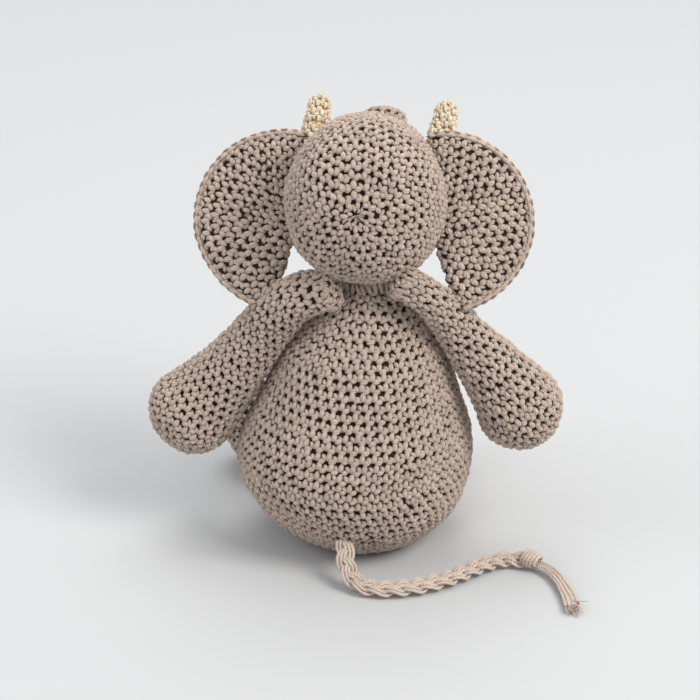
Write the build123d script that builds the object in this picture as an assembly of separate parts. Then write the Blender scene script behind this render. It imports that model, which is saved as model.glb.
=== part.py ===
from build123d import *
import os
from math import asin, cos, degrees, pi, radians, sin, tan

# A crocheted elephant that sits on a flat seat, in millimetres. +Z is up, the elephant faces -Y and its
# left side is +X. The origin is the centre of the flat seat face, on the surface that it sits on.
# Every padded piece is a crocheted cover round a stuffing; covers, fibre and yarn seams are separate.

WALL = 3.5          # thickness of the crocheted fabric
FILL_GAP = 0.2      # between a cover and its stuffing
YARN = 2.0          # diameter of one yarn
PLAY = 0.4          # between pieces that move past each other
SIDES = ("left", 1), ("right", -1)

# Body: an egg that leans to the elephant's right. Each place is (radius, height up its axis).
BODY_LEAN = 3.5                     # degrees
BODY_POLE = (0, -6.5)               # where the egg would end below the seat
BODY_BULGE = (45.0, 13.0)
BULGE_IN = (0.75, 0.65)             # how far the bulge moves in, and up, for each mm of wall
CUTTER = 300.0                      # a block larger than the toy
BODY_WIDEST = (61.5, 50.0)
BODY_SHOULDER = (43.0, 106.0)
BODY_TOP = (20.0, 143.0)            # the sewn opening under the head

# Neck: the fibre that fills it, and the yarn that sews the head on.
NECK_RADIUS = 13.0
NECK_HEIGHT = 3.6
NECK_SEAM_RADIUS = 15.5

# Head: a ball that tapers forward to where the trunk's ball is cupped.
HEAD_CENTRE = Vector(-5.5, -2.0, 193.0)
HEAD_RADIUS = 43.0
HEAD_FRONT = 48.0                   # from the ball's centre to the flat front end
HEAD_FRONT_RADIUS = 23.0

# Trunk: it rises from the front of the head.
TRUNK_PIVOT = Vector(-6.5, -64.0, 182.0)
TRUNK_TIP = Vector(-6.0, -95.0, 203.0)
TRUNK_BALL = 15.0
TRUNK_TIP_RADIUS = 13.0

# Ears: flat half-discs, sewn along their straight edge. Places are for the left ear.
EAR_TOP = Vector(34.0, -12.0, 223.4)
EAR_BOTTOM = Vector(52.0, 16.0, 138.4)
EAR_OUTER = Vector(88.3, -4.0, 180.0)
EAR_MIDDLE_X = -5.2
EAR_THICK = 7.0
EAR_CORNER = 5.0                    # rounding of the two corners
EDGING = 4.4                        # diameter of the slip-stitched edging
EAR_HEAD_GAP = 1.2
EAR_ROUNDING = 2.8                  # rounding of its flat faces' edges
EAR_YARN_GAP = 0.2                  # between the ear and the yarn round it
EDGING_START = 7.0                  # how far from the straight edge the edging begins

# Tusks: tapered, upright beside the trunk. Places are for the left tusk, from the head's middle.
TUSK_MIDDLE_X = -7.8
TUSK_BASE = Vector(30.0, -37.0, 190.0)
TUSK_TIP = Vector(32.5, -61.5, 225.0)
TUSK_BASE_RADIUS = 8.0
TUSK_TIP_RADIUS = 5.6
TUSK_WALL = 2.2

# Eyes: domed buttons on a stem, each held by a washer inside the head. Places are for the left eye.
EYE_FROM = Vector(4.6, -16.4, 2.0)  # a point behind the eye, from the head's centre
EYE_AXIS = Vector(0.38, -0.73, 0.54)
EYE_PROUD = 0.9                     # from the cover's skin to the dome's flat back
EYE_RADIUS = 4.5
EYE_STEM_RADIUS = 1.7
EYE_STEM_LENGTH = 9.0
EYE_STEM_PLAY = 0.1
EYE_BORE = 20.0                     # deeper than the wall
EYE_POCKET = 5.3                    # middle of the pocket that the dome sits in
WASHER_PLAY = 0.05
WASHER_ROOM = 16.0                  # depth of the fibre's hollow round the washer
WASHER_RADIUS = 4.2
WASHER_THICK = 1.2
WASHER_DEPTH = 6.4                  # from the cover's skin to the washer's middle

# Arms: the root is the flat sewn end, which rides on the shoulder. The rest swings at the shoulder.
ARMS = {
    "left": {"root": Vector(4.5, 27.5, 148), "root_r": 6.3, "shoulder": Vector(36, 8, 129),
             "shoulder_r": 10.0, "hand": Vector(87.2, 4, 73.4), "hand_r": 23.0},
    "right": {"root": Vector(-25, 25, 151), "root_r": 6.3, "shoulder": Vector(-46, 5, 134),
              "shoulder_r": 9.0, "hand": Vector(-88.4, 4, 82.5), "hand_r": 22.6},
}

ARM_SEAM_AT = 3.0                   # along the root, from its end

# Legs: short, lying on the surface in front of the body.
LEGS = {
    "left": {"hip_turn": 28.0, "foot": Vector(62, -82, 24)},
    "right": {"hip_turn": -23.0, "foot": Vector(-31, -93, 24)},
}
HIP_BALL = 14.0
HIP_OUT = 69.6                      # from the body's axis to the hip
FOOT_RADIUS = 24.0
LEG_SEAM_RADIUS = 9.5
LEG_SEAM_IN = 12.9                  # from the hip towards the middle of the body

# Tail: a three-strand braid that drops from the lower back and lies on the surface, with a knot near its end.
TAIL_WIDTH = 9.0
TAIL_ROUTE = [(-1.5, 53.6, 21.0), (-1.7, 59.6, 16.8), (-3.0, 63.8, 10.8), (-7.0, 67.6, 6.4),
              (-13.4, 70.4, 4.8), (-21.8, 71.2, 4.6), (-31.6, 69.0, 4.6), (-43.4, 64.8, 4.6),
              (-54.0, 57.4, 4.6), (-63.8, 48.0, 4.6), (-72.4, 39.0, 4.6), (-80.6, 33.0, 4.6),
              (-88.8, 31.0, 4.6), (-96.8, 33.2, 4.6)]
KNOT_RADIUS = 6.4
FRINGE_WIDTH = 7.0
FRINGE_ROUTE = [(-99.6, 35.2, 4.2), (-105.2, 40.0, 3.9), (-110.0, 47.8, 3.7), (-113.6, 58.4, 3.6),
                (-116.4, 70.0, 3.6), (-118.0, 80.4, 3.6)]

os.makedirs("parts", exist_ok=True)


def save(node, shape):
    shape.label = node
    export_step(shape, "parts/" + node + ".step")


def along(start, end):
    """A plane at start whose z axis points to end."""
    return Plane(origin=start, z_dir=end - start)


def club(length, root, tip):
    """A tapered limb along +Z from the origin, with round ends of the two radii."""
    lean = asin((tip - root) / length)
    flank = [(root * cos(lean), -root * sin(lean)), (tip * cos(lean), length - tip * sin(lean))]
    with BuildPart() as part:
        with BuildSketch(Plane.XZ):
            with BuildLine():
                foot = RadiusArc((0, -root), flank[0], -root, short_sagitta=True)
                side = Line(flank[0], flank[1])
                head = CenterArc((0, length), tip, -degrees(lean), 90 + degrees(lean))
                Line(head @ 1, foot @ 0)
            make_face()
        revolve(axis=Axis.Z)
    return part.part


def place(shape, start, end):
    return along(start, end).location * shape


def padded(name, outer, inner, trim=None):
    """Saves a cover and its stuffing. trim is cut from both."""
    cover = outer - inner[0]
    stuffing = inner[1]
    if trim is not None:
        cover = cover - trim
        stuffing = stuffing - trim
    save(name + "_cover", cover)
    save(name + "_stuffing", stuffing)


def limb(name, start, end, root, tip, wall=WALL, trim=None):
    """A cover and its stuffing, both tapered and round at the ends, from start to end."""
    length = (end - start).length
    outer = place(club(length, root, tip), start, end)
    hollow = place(club(length, root - wall, tip - wall), start, end)
    fill = place(club(length, root - wall - FILL_GAP, tip - wall - FILL_GAP), start, end)
    padded(name, outer, (hollow, fill), trim)


def body_layer(inset):
    """The body's egg, inset from its outside, with its flat seat."""
    pole = Vector(0, BODY_POLE[1] + inset)
    widest = Vector(BODY_WIDEST[0] - inset, BODY_WIDEST[1])
    top = Vector(BODY_TOP[0] - inset, BODY_TOP[1] - inset)
    with BuildPart() as part:
        with BuildSketch(Plane.XZ):
            with BuildLine():
                bulge = (BODY_BULGE[0] - BULGE_IN[0] * inset, BODY_BULGE[1] + BULGE_IN[1] * inset)
                ThreePointArc(pole, bulge, widest)
                side = TangentArc(widest, (BODY_SHOULDER[0] - inset, BODY_SHOULDER[1]), tangent=(0, 1))
                shoulder = TangentArc(side @ 1, top, tangent=side % 1)
                Polyline(shoulder @ 1, (0, top.Y), pole)
            make_face()
        revolve(axis=Axis.Z)
    below = Pos(0, 0, inset - CUTTER / 2) * Box(CUTTER, CUTTER, CUTTER)
    return Rot(0, -BODY_LEAN, 0) * part.part - below


def body():
    """The egg-shaped body, its fibre, and the flat seat."""
    outer = body_layer(0)
    padded("body", outer, (body_layer(WALL), body_layer(WALL + FILL_GAP)))
    return outer


def neck():
    """The fibre in the neck and the yarn round it, on top of the body."""
    top = Rot(0, -BODY_LEAN, 0) * Pos(0, 0, BODY_TOP[1] + PLAY)
    save("neck_stuffing", top * Pos(0, 0, NECK_HEIGHT / 2) * Cylinder(NECK_RADIUS, NECK_HEIGHT))
    save("neck_seam", top * Pos(0, 0, YARN / 2 + 0.2) * Torus(NECK_SEAM_RADIUS, YARN / 2))


def head_layer(inset):
    """The head, inset from its outside: half a ball and a taper in front. A negative inset grows it."""
    radius = HEAD_RADIUS - inset
    front = (HEAD_FRONT_RADIUS - inset, HEAD_FRONT - inset)
    with BuildPart() as part:
        with BuildSketch(Plane.XZ):
            with BuildLine():
                CenterArc((0, 0), radius, -90, 90)
                side = TangentArc((radius, 0), front, tangent=(0, 1))
                Polyline(side @ 1, (0, front[1]), (0, -radius))
            make_face()
        revolve(axis=Axis.Z)
    return Pos(*HEAD_CENTRE) * Rot(90, 0, 0) * part.part


def eye_plane(side, skin):
    """The plane on the head's skin where an eye sits, with z pointing out."""
    start = HEAD_CENTRE + Vector(side * EYE_FROM.X, EYE_FROM.Y, EYE_FROM.Z)
    out = Vector(side * EYE_AXIS.X, EYE_AXIS.Y, EYE_AXIS.Z)
    inside = Line(start, start + out * CUTTER) & skin
    inside = inside if isinstance(inside, Edge) else inside.edges()[0]
    far = max((inside @ 0, inside @ 1), key=lambda point: (point - start).length)
    return Plane(origin=far, z_dir=out)


def eyes(skin):
    """Eyes and washers. Returns the holes for the stems and the room that the washers need."""
    holes = []
    room = []
    stem_length = EYE_STEM_LENGTH + EYE_PROUD
    for name, side in SIDES:
        seat = eye_plane(side, skin).location
        flat_back = Pos(0, 0, -EYE_RADIUS) * Box(CUTTER, CUTTER, 2 * EYE_RADIUS)
        dome = Pos(0, 0, EYE_PROUD) * (Sphere(EYE_RADIUS) - flat_back)
        stem = Pos(0, 0, EYE_PROUD - stem_length / 2) * Cylinder(EYE_STEM_RADIUS, stem_length)
        ring = Cylinder(WASHER_RADIUS, WASHER_THICK) - Cylinder(EYE_STEM_RADIUS + WASHER_PLAY, 3 * WASHER_THICK)
        holes.append(seat * Cylinder(EYE_STEM_RADIUS + EYE_STEM_PLAY, EYE_BORE))
        holes.append(seat * Pos(0, 0, EYE_POCKET) * Cylinder(EYE_RADIUS + FILL_GAP, EYE_BORE / 2))
        room.append(seat * Pos(0, 0, -WASHER_ROOM / 2) * Cylinder(WASHER_RADIUS + PLAY, WASHER_ROOM))
        save("eye_" + name, seat * (dome + stem))
        save("eye_washer_" + name, seat * Pos(0, 0, -WASHER_DEPTH) * ring)
    return holes, room


def head():
    """The egg-shaped head, its fibre and its eyes, cupped at the front for the trunk."""
    outer = head_layer(0)
    hollow = head_layer(WALL)
    fill = head_layer(WALL + FILL_GAP)
    cup = Pos(*TRUNK_PIVOT) * Sphere(TRUNK_BALL + PLAY)
    holes, room = eyes(outer)
    cover = outer - hollow - cup
    for hole in holes:
        cover = cover - hole
    for space in room:
        fill = fill - space
    save("head_cover", cover)
    save("head_stuffing", fill - (Pos(*TRUNK_PIVOT) * Sphere(TRUNK_BALL + PLAY + WALL)))
    return outer


def trunk():
    """The raised trunk, which bends where it leaves the head."""
    limb("trunk", TRUNK_PIVOT, TRUNK_TIP, TRUNK_BALL, TRUNK_TIP_RADIUS)


def mirrored(point, side, middle):
    """A point given from the head's middle, on the left or right side."""
    return Vector(middle + side * point.X, point.Y, point.Z)


def ears():
    """Each ear is a flat half-disc, hollowed to the head's side, with edging and a sewn inner edge."""
    clear = head_layer(-EAR_HEAD_GAP)
    for name, side in SIDES:
        top = mirrored(EAR_TOP, side, EAR_MIDDLE_X)
        bottom = mirrored(EAR_BOTTOM, side, EAR_MIDDLE_X)
        outer = mirrored(EAR_OUTER, side, EAR_MIDDLE_X)
        middle = (top + bottom) / 2
        up = (top - bottom).normalized()
        out = outer - middle
        out = (out - up * out.dot(up)).normalized()
        flat = Plane(origin=middle, x_dir=out, z_dir=out.cross(up))
        radius = (top - bottom).length / 2 - EDGING
        seam_at = YARN / 2
        inner = seam_at + YARN / 2 + EAR_YARN_GAP
        with BuildSketch() as half:
            Circle(radius)
            with Locations((inner - radius, 0)):
                Rectangle(2 * radius, 3 * radius, mode=Mode.SUBTRACT)
            fillet(half.vertices(), EAR_CORNER)
        slab = extrude(half.sketch, amount=EAR_THICK / 2, both=True)
        slab = fillet(slab.edges().group_by(Axis.Z)[0] + slab.edges().group_by(Axis.Z)[-1], EAR_ROUNDING)
        reach = radius + EDGING / 2 + EAR_YARN_GAP
        low = degrees(asin(EDGING_START / reach))
        ring_path = CenterArc((0, 0), reach, low - 90, 180 - 2 * low)
        ring_start = Plane(origin=ring_path @ 0, z_dir=ring_path % 0)
        ring = sweep(ring_start * Circle(EDGING / 2), path=ring_path)
        seam_length = 2 * radius - 2 * EAR_CORNER
        seam = Pos(seam_at, 0, 0) * Rot(90, 0, 0) * Cylinder(YARN / 2, seam_length)
        save("ear_" + name, flat.location * slab - clear)
        save("ear_edging_" + name, flat.location * ring)
        save("ear_seam_" + name, flat.location * seam - clear)


def tusks(skin):
    """Two tapered tusks, sewn to the cheeks."""
    for name, side in SIDES:
        base = mirrored(TUSK_BASE, side, TUSK_MIDDLE_X)
        tip = mirrored(TUSK_TIP, side, TUSK_MIDDLE_X)
        limb("tusk_" + name, base, tip, TUSK_BASE_RADIUS, TUSK_TIP_RADIUS, TUSK_WALL, skin)


def arms():
    """Each arm hangs from a flat root that is sewn behind the neck and rides over the shoulder."""
    for name, arm in ARMS.items():
        shoulder = arm["shoulder"]
        reach = (shoulder - arm["root"]).length
        socket = Pos(*shoulder) * Sphere(arm["shoulder_r"] + PLAY)
        root = place(club(reach, arm["root_r"], arm["shoulder_r"] - 1.5), arm["root"], shoulder)
        save("arm_root_" + name, root - socket)
        seam = Pos(0, 0, ARM_SEAM_AT) * Torus(arm["root_r"] + YARN / 2 + 0.6, YARN / 2)
        save("arm_seam_" + name, place(seam, arm["root"], shoulder))
        limb("arm_" + name, shoulder, arm["hand"], arm["shoulder_r"], arm["hand_r"])


def hip_centre(turn):
    """A hip's ball, at one distance from the body's leaning axis."""
    axis_x = -BODY_WIDEST[1] * tan(radians(BODY_LEAN))
    across = HIP_OUT * sin(radians(turn))
    return Vector(axis_x + across, -HIP_OUT * cos(radians(turn)), FOOT_RADIUS)


def legs():
    """Each leg is a short club that lies flat; the yarn that sews it on stays with the body."""
    middle = (Rot(0, -BODY_LEAN, 0) * Pos(0, 0, BODY_WIDEST[1])).position
    for name, leg in LEGS.items():
        hip = hip_centre(leg["hip_turn"])
        limb("leg_" + name, hip, leg["foot"], HIP_BALL, FOOT_RADIUS)
        seam_at = hip + (middle - hip).normalized() * LEG_SEAM_IN
        save("leg_seam_" + name, along(seam_at, middle).location * Torus(LEG_SEAM_RADIUS, YARN / 2))


def cord(route, width):
    """A tube along straight runs joined by arcs, each as large as its two runs allow."""
    points = [Vector(*point) for point in route]
    runs = [after - before for before, after in zip(points, points[1:])]
    radii = []
    for before, after in zip(runs, runs[1:]):
        turn = radians(before.get_angle(after))
        radii.append(0.45 * min(before.length, after.length) / tan(turn / 2))
    path = FilletPolyline(*points, radius=radii)
    tube = sweep(Plane(origin=path @ 0, z_dir=path % 0) * Circle(width / 2), path=path)
    print("bend radii", [round(radius, 1) for radius in radii])
    print("tube volume", round(tube.volume), "section x length", round(pi * width ** 2 / 4 * path.length))
    print("length", round(path.length, 1))
    return tube


def tail(skin):
    """The braid, its knot and its loose ends."""
    knot_at = (Vector(*TAIL_ROUTE[-1]) + Vector(*FRINGE_ROUTE[0])) / 2
    knot = Pos(knot_at.X, knot_at.Y, KNOT_RADIUS) * Sphere(KNOT_RADIUS)
    save("tail_braid", cord(TAIL_ROUTE, TAIL_WIDTH) - knot - skin)
    save("tail_knot", knot)
    save("tail_fringe", cord(FRINGE_ROUTE, FRINGE_WIDTH) - knot)


body_skin = body()
neck()
head_skin = head()
trunk()
ears()
tusks(head_skin)
arms()
legs()
tail(body_skin)
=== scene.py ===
import math
import bmesh
import bpy
import numpy as np
from mathutils import Matrix, Vector, noise


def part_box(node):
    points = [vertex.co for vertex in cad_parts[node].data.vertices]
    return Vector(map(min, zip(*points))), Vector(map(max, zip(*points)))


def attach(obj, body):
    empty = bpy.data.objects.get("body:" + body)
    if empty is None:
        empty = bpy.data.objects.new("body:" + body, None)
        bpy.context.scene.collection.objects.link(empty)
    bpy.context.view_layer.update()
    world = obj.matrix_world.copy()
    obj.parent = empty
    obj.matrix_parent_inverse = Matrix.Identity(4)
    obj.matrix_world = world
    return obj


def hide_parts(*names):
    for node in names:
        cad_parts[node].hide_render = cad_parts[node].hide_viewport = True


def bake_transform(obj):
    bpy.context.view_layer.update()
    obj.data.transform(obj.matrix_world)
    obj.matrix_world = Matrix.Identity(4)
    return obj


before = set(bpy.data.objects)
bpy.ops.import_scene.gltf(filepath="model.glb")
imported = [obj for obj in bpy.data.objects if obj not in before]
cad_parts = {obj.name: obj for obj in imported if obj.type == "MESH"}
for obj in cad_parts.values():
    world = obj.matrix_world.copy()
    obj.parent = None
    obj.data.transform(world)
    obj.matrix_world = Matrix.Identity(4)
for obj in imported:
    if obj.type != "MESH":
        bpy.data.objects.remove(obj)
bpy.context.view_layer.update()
MM = 0.001


# ---------------------------------------------------------------------------------------------
# Camera. The toy sits with its back to us, a little turned, and we look down on it from behind.
VIEW_TURN = math.radians(186.5)
VIEW_RISE = math.radians(23)
VIEW_DISTANCE = 1.237
VIEW_MIDDLE = Vector((0.0021, 0, 0.107))
LENS = 120

camera_data = bpy.data.cameras.new("camera")
camera_data.lens = LENS
camera_data.sensor_width = 36
camera = bpy.data.objects.new("camera", camera_data)
bpy.context.collection.objects.link(camera)
away = Vector((math.sin(VIEW_TURN) * math.cos(VIEW_RISE), -math.cos(VIEW_TURN) * math.cos(VIEW_RISE),
               math.sin(VIEW_RISE)))
camera.location = VIEW_MIDDLE + VIEW_DISTANCE * away
camera.rotation_euler = away.to_track_quat("Z", "Y").to_euler()
bpy.context.scene.camera = camera
bpy.context.scene.view_settings.view_transform = "Standard"


# ---------------------------------------------------------------------------------------------
# Tail. Three strands, each of several lengths of plied cotton, are plaited, knotted at the end
# and left as a loose tuft. It hangs from the lower back, meets the table and lies along it.
TAIL_ROUTE = [(-1.5, 53.6, 21.0), (-1.9, 59.6, 16.8), (-3.4, 64.4, 10.8), (-7.4, 68.8, 6.4),
              (-13.6, 72.0, 4.8), (-21.8, 73.0, 4.6), (-31.8, 71.2, 4.6), (-43.6, 66.6, 4.6),
              (-54.0, 59.2, 4.6), (-63.8, 49.8, 4.6), (-72.4, 40.6, 4.6), (-80.6, 34.0, 4.6),
              (-88.8, 31.6, 4.6), (-96.8, 33.4, 4.6)]
TUFT_ROUTE = [(-99.6, 35.2, 4.2), (-106.2, 38.6, 3.9), (-112.0, 46.4, 3.7), (-116.4, 57.4, 3.6),
              (-120.0, 69.6, 3.6), (-122.4, 80.6, 3.6)]
TAIL_YARN_RADIUS = 0.98
PLIES = 3
PLY_PITCH = 5.0
PLAIT_PITCH = 27.0
PLAIT_SWING = 2.5
PLAIT_DEPTH = 1.4
YARNS_APART = 1.85
STRAND_YARNS = 3
TUFT_YARNS = 6
FRAYED_ENDS = 9
TUFT_YARNS_APART = 0.86
TUFT_YARN_RADIUS = 1.05
FRAYED_RADIUS = 0.30
CROWN = 0.45                        # how far each strand's middle yarn stands up
TAIL_COLOUR = (0.560, 0.458, 0.385)
# Dark colour the cotton would paint into gaps as shade; the tail's yarns all take one value that shows only
# the colour
TAIL_PAINTED_SHADE = (0.070, 0.043, 0.029)


def cotton(name, colour, shade, ply_turns=3.0, fuzz=900.0):
    """Matt cotton yarn: pale on the crown of each loop, painted brown shade in the gaps, finely plied."""
    material = bpy.data.materials.new(name)
    material.use_nodes = True
    nodes = material.node_tree.nodes
    links = material.node_tree.links
    surface = nodes["Principled BSDF"]
    surface.inputs["Roughness"].default_value = 0.82
    surface.inputs["Specular IOR Level"].default_value = 0.22
    surface.inputs["Sheen Weight"].default_value = 0.18
    surface.inputs["Sheen Roughness"].default_value = 0.45
    # Painted shade: a per-vertex value, 0 deep in the gaps and 1 on a loop's crown, turns the colour to the
    # painted dark shade colour.
    painted_shade_lift = nodes.new("ShaderNodeAttribute")
    painted_shade_lift.attribute_name = "painted_shade_lift"
    depth = nodes.new("ShaderNodeValToRGB")
    depth.color_ramp.elements[0].position = 0.28
    depth.color_ramp.elements[0].color = (*shade, 1)
    depth.color_ramp.elements[1].position = 0.80
    depth.color_ramp.elements[1].color = (*colour, 1)
    links.new(painted_shade_lift.outputs["Fac"], depth.inputs["Fac"])
    tone = nodes.new("ShaderNodeAttribute")
    tone.attribute_name = "tone"
    toned = nodes.new("ShaderNodeHueSaturation")
    links.new(depth.outputs["Color"], toned.inputs["Color"])
    links.new(tone.outputs["Fac"], toned.inputs["Value"])
    place = nodes.new("ShaderNodeTexCoord")
    speck = nodes.new("ShaderNodeTexNoise")
    speck.inputs["Scale"].default_value = fuzz
    speck.inputs["Detail"].default_value = 2
    links.new(place.outputs["Object"], speck.inputs["Vector"])
    fleck = nodes.new("ShaderNodeMapRange")
    fleck.inputs["From Min"].default_value = 0.3
    fleck.inputs["From Max"].default_value = 0.7
    fleck.inputs["To Min"].default_value = 0.88
    fleck.inputs["To Max"].default_value = 1.10
    links.new(speck.outputs["Fac"], fleck.inputs["Value"])
    flecked = nodes.new("ShaderNodeMix")
    flecked.data_type = "RGBA"
    flecked.blend_type = "MULTIPLY"
    flecked.inputs["Factor"].default_value = 1
    links.new(toned.outputs["Color"], flecked.inputs["A"])
    links.new(fleck.outputs["Result"], flecked.inputs["B"])
    links.new(flecked.outputs["Result"], surface.inputs["Base Color"])
    along = nodes.new("ShaderNodeUVMap")
    along.uv_map = "ply"
    slant = nodes.new("ShaderNodeMapping")
    slant.inputs["Rotation"].default_value = (0, 0, math.radians(35))
    slant.inputs["Scale"].default_value = (ply_turns, 1.4, 1)
    links.new(along.outputs["UV"], slant.inputs["Vector"])
    plies = nodes.new("ShaderNodeTexWave")
    plies.inputs["Scale"].default_value = 1.0
    plies.inputs["Distortion"].default_value = 0.6
    links.new(slant.outputs["Vector"], plies.inputs["Vector"])
    both = nodes.new("ShaderNodeMath")
    both.operation = "MULTIPLY_ADD"
    both.inputs[1].default_value = 0.35
    links.new(speck.outputs["Fac"], both.inputs[0])
    links.new(plies.outputs["Fac"], both.inputs[2])
    bump = nodes.new("ShaderNodeBump")
    bump.inputs["Strength"].default_value = 0.8
    bump.inputs["Distance"].default_value = 0.0006
    links.new(both.outputs["Value"], bump.inputs["Height"])
    links.new(bump.outputs["Normal"], surface.inputs["Normal"])
    return material


def new_piece(name, mesh, material):
    """A finished mesh becomes a piece with its place in its mesh, smooth and in its finish."""
    mesh.name = name
    mesh.materials.clear()
    mesh.materials.append(material)
    mesh.polygons.foreach_set("material_index", np.zeros(len(mesh.polygons), np.int32))
    mesh.polygons.foreach_set("use_smooth", np.ones(len(mesh.polygons), bool))
    piece = bpy.data.objects.new(name, mesh)
    bpy.context.collection.objects.link(piece)
    return piece


def point_values(mesh, name, values):
    """Writes one number for each vertex, which the cotton's finish reads."""
    attribute = mesh.attributes.new(name, "FLOAT", "POINT")
    attribute.data.foreach_set("value", np.asarray(values, np.float32))


def laid_line(route, spacing=0.5):
    """Evenly spaced points, in mm, along the smooth line that a route's control points draw."""
    curve = bpy.data.curves.new("line", "CURVE")
    curve.dimensions = "3D"
    curve.resolution_u = 24
    spline = curve.splines.new("NURBS")
    spline.points.add(len(route) - 1)
    for point, place in zip(spline.points, route):
        point.co = (*(Vector(place) * MM), 1)
    spline.order_u = 3
    spline.use_endpoint_u = True
    holder = bpy.data.objects.new("line", curve)
    bpy.context.collection.objects.link(holder)
    mesh = bpy.data.meshes.new_from_object(holder)
    points = np.array([v.co for v in mesh.vertices]) / MM
    bpy.data.objects.remove(holder)
    bpy.data.meshes.remove(mesh)
    travel = np.concatenate([[0], np.cumsum(np.linalg.norm(np.diff(points, axis=0), axis=1))])
    even = np.linspace(0, travel[-1], int(travel[-1] / spacing) + 1)
    return np.stack([np.interp(even, travel, points[:, i]) for i in range(3)], axis=1)


def line_frames(line, up=(0, 0, 1)):
    """Direction, sideways and upward unit vectors at each point of a line."""
    ahead = np.gradient(line, axis=0)
    ahead /= np.linalg.norm(ahead, axis=1, keepdims=True)
    side = np.cross(np.asarray(up, float), ahead)
    side /= np.linalg.norm(side, axis=1, keepdims=True)
    return ahead, side, np.cross(ahead, side)


def plied_yarns(lines, radius):
    """A mesh of yarns: each is a lobed section, one lobe a ply, that turns as it runs along."""
    section = bpy.data.curves.new("ply section", "CURVE")
    section.dimensions = "2D"
    ring = section.splines.new("POLY")
    ring.points.add(4 * PLIES - 1)
    for i, point in enumerate(ring.points):
        turn = 2 * math.pi * i / len(ring.points)
        reach = radius * MM * (0.90 + 0.13 * math.cos(PLIES * turn))
        point.co = (reach * math.cos(turn), reach * math.sin(turn), 0, 1)
    ring.use_cyclic_u = True
    section_holder = bpy.data.objects.new("ply section", section)
    bpy.context.collection.objects.link(section_holder)
    curve = bpy.data.curves.new("yarns", "CURVE")
    curve.dimensions = "3D"
    curve.bevel_mode = "OBJECT"
    curve.bevel_object = section_holder
    curve.use_fill_caps = True
    curve.twist_mode = "MINIMUM"
    for number, line in enumerate(lines):
        strand = curve.splines.new("POLY")
        strand.points.add(len(line) - 1)
        travel = np.concatenate([[0], np.cumsum(np.linalg.norm(np.diff(line, axis=0), axis=1))])
        for point, place, gone in zip(strand.points, line, travel):
            point.co = (*(Vector(place) * MM), 1)
            # each yarn starts at a turn of its own
            point.tilt = number + 2 * math.pi * gone / PLY_PITCH
    holder = bpy.data.objects.new("yarns", curve)
    bpy.context.collection.objects.link(holder)
    mesh = bpy.data.meshes.new_from_object(holder.evaluated_get(bpy.context.evaluated_depsgraph_get()))
    bpy.data.objects.remove(holder)
    bpy.data.objects.remove(section_holder)
    return mesh


def cotton_yarns(name, lines, radius, material, seed=1):
    """A piece made of free lengths of yarn, evenly pale, with a little change of tone along it."""
    mesh = plied_yarns(lines, radius)
    places = np.array([v.co for v in mesh.vertices])
    rng = np.random.default_rng(seed)
    shift = rng.uniform(0, 100)
    point_values(mesh, "painted_shade_lift", np.full(len(places), 0.8))
    point_values(mesh, "tone", [1 + 0.08 * noise.noise(Vector(p) * 90 + Vector((shift, 0, 0)))
                                for p in places])
    bm = bmesh.new()
    bm.from_mesh(mesh)
    bmesh.ops.recalc_face_normals(bm, faces=bm.faces)
    bm.to_mesh(mesh)
    bm.free()
    return new_piece(name, mesh, material)


def joined(name, pieces):
    """Several made lengths become one piece."""
    bm = bmesh.new()
    for piece in pieces:
        bm.from_mesh(piece.data)
    bm.to_mesh(pieces[0].data)
    bm.free()
    for piece in pieces[1:]:
        bpy.data.objects.remove(piece)
    pieces[0].name = name
    return pieces[0]


tail_cotton = cotton("tail_cotton", TAIL_COLOUR, TAIL_PAINTED_SHADE)
tail_line = laid_line(TAIL_ROUTE)
_, tail_side, tail_up = line_frames(tail_line, up=(0.0, 0.35, 0.94))
tail_travel = np.linspace(0, 0.5 * (len(tail_line) - 1), len(tail_line))
tail_lines = []
for strand in range(3):
    phase = 2 * math.pi * (tail_travel / PLAIT_PITCH + strand / 3)
    across = PLAIT_SWING * np.sin(phase)
    over = PLAIT_DEPTH * np.sin(2 * phase)
    lean = np.arctan(0.5 * np.cos(phase))
    for yarn in range(STRAND_YARNS):
        fan = (yarn - (STRAND_YARNS - 1) / 2) * YARNS_APART * np.cos(lean)
        crown = CROWN * (yarn == STRAND_YARNS // 2)
        tail_lines.append((tail_line + tail_side * (across + fan)[:, None]
                           + tail_up * (over + crown)[:, None])[::2])
tail = cotton_yarns("tail_plait", tail_lines, TAIL_YARN_RADIUS, tail_cotton)

KNOT_PLACE = np.array([-98.2, 34.2, 6.0])
KNOT_RADIUS = 3.3
KNOT_WRAPS = 4.5
KNOT_LENGTH = 8.6
KNOT_YARN_RADIUS = 1.12
KNOT_FLATTENED = 1.2                # wider than high, as it lies
knot_axis = TUFT_ROUTE[0] - tail_line[-1]
knot_axis = knot_axis / np.linalg.norm(knot_axis)
knot_side = np.cross((0, 0, 1), knot_axis)
knot_up = np.cross(knot_axis, knot_side)
knot_turn = np.linspace(0, 2 * math.pi * KNOT_WRAPS, 120)
knot_spread = (knot_turn / knot_turn[-1] - 0.5) * KNOT_LENGTH
knot_reach = (KNOT_RADIUS * (1 + 0.18 * np.cos(knot_spread / KNOT_LENGTH * math.pi)))[:, None]
knot_line = (KNOT_PLACE + knot_axis * (knot_spread + 0.8 * np.sin(knot_turn))[:, None]
             + knot_reach * (KNOT_FLATTENED * knot_side * np.cos(knot_turn)[:, None]
                             + knot_up * np.sin(knot_turn)[:, None]))
knot = cotton_yarns("tail_knot_wraps", [knot_line], KNOT_YARN_RADIUS, tail_cotton, seed=2)

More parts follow.
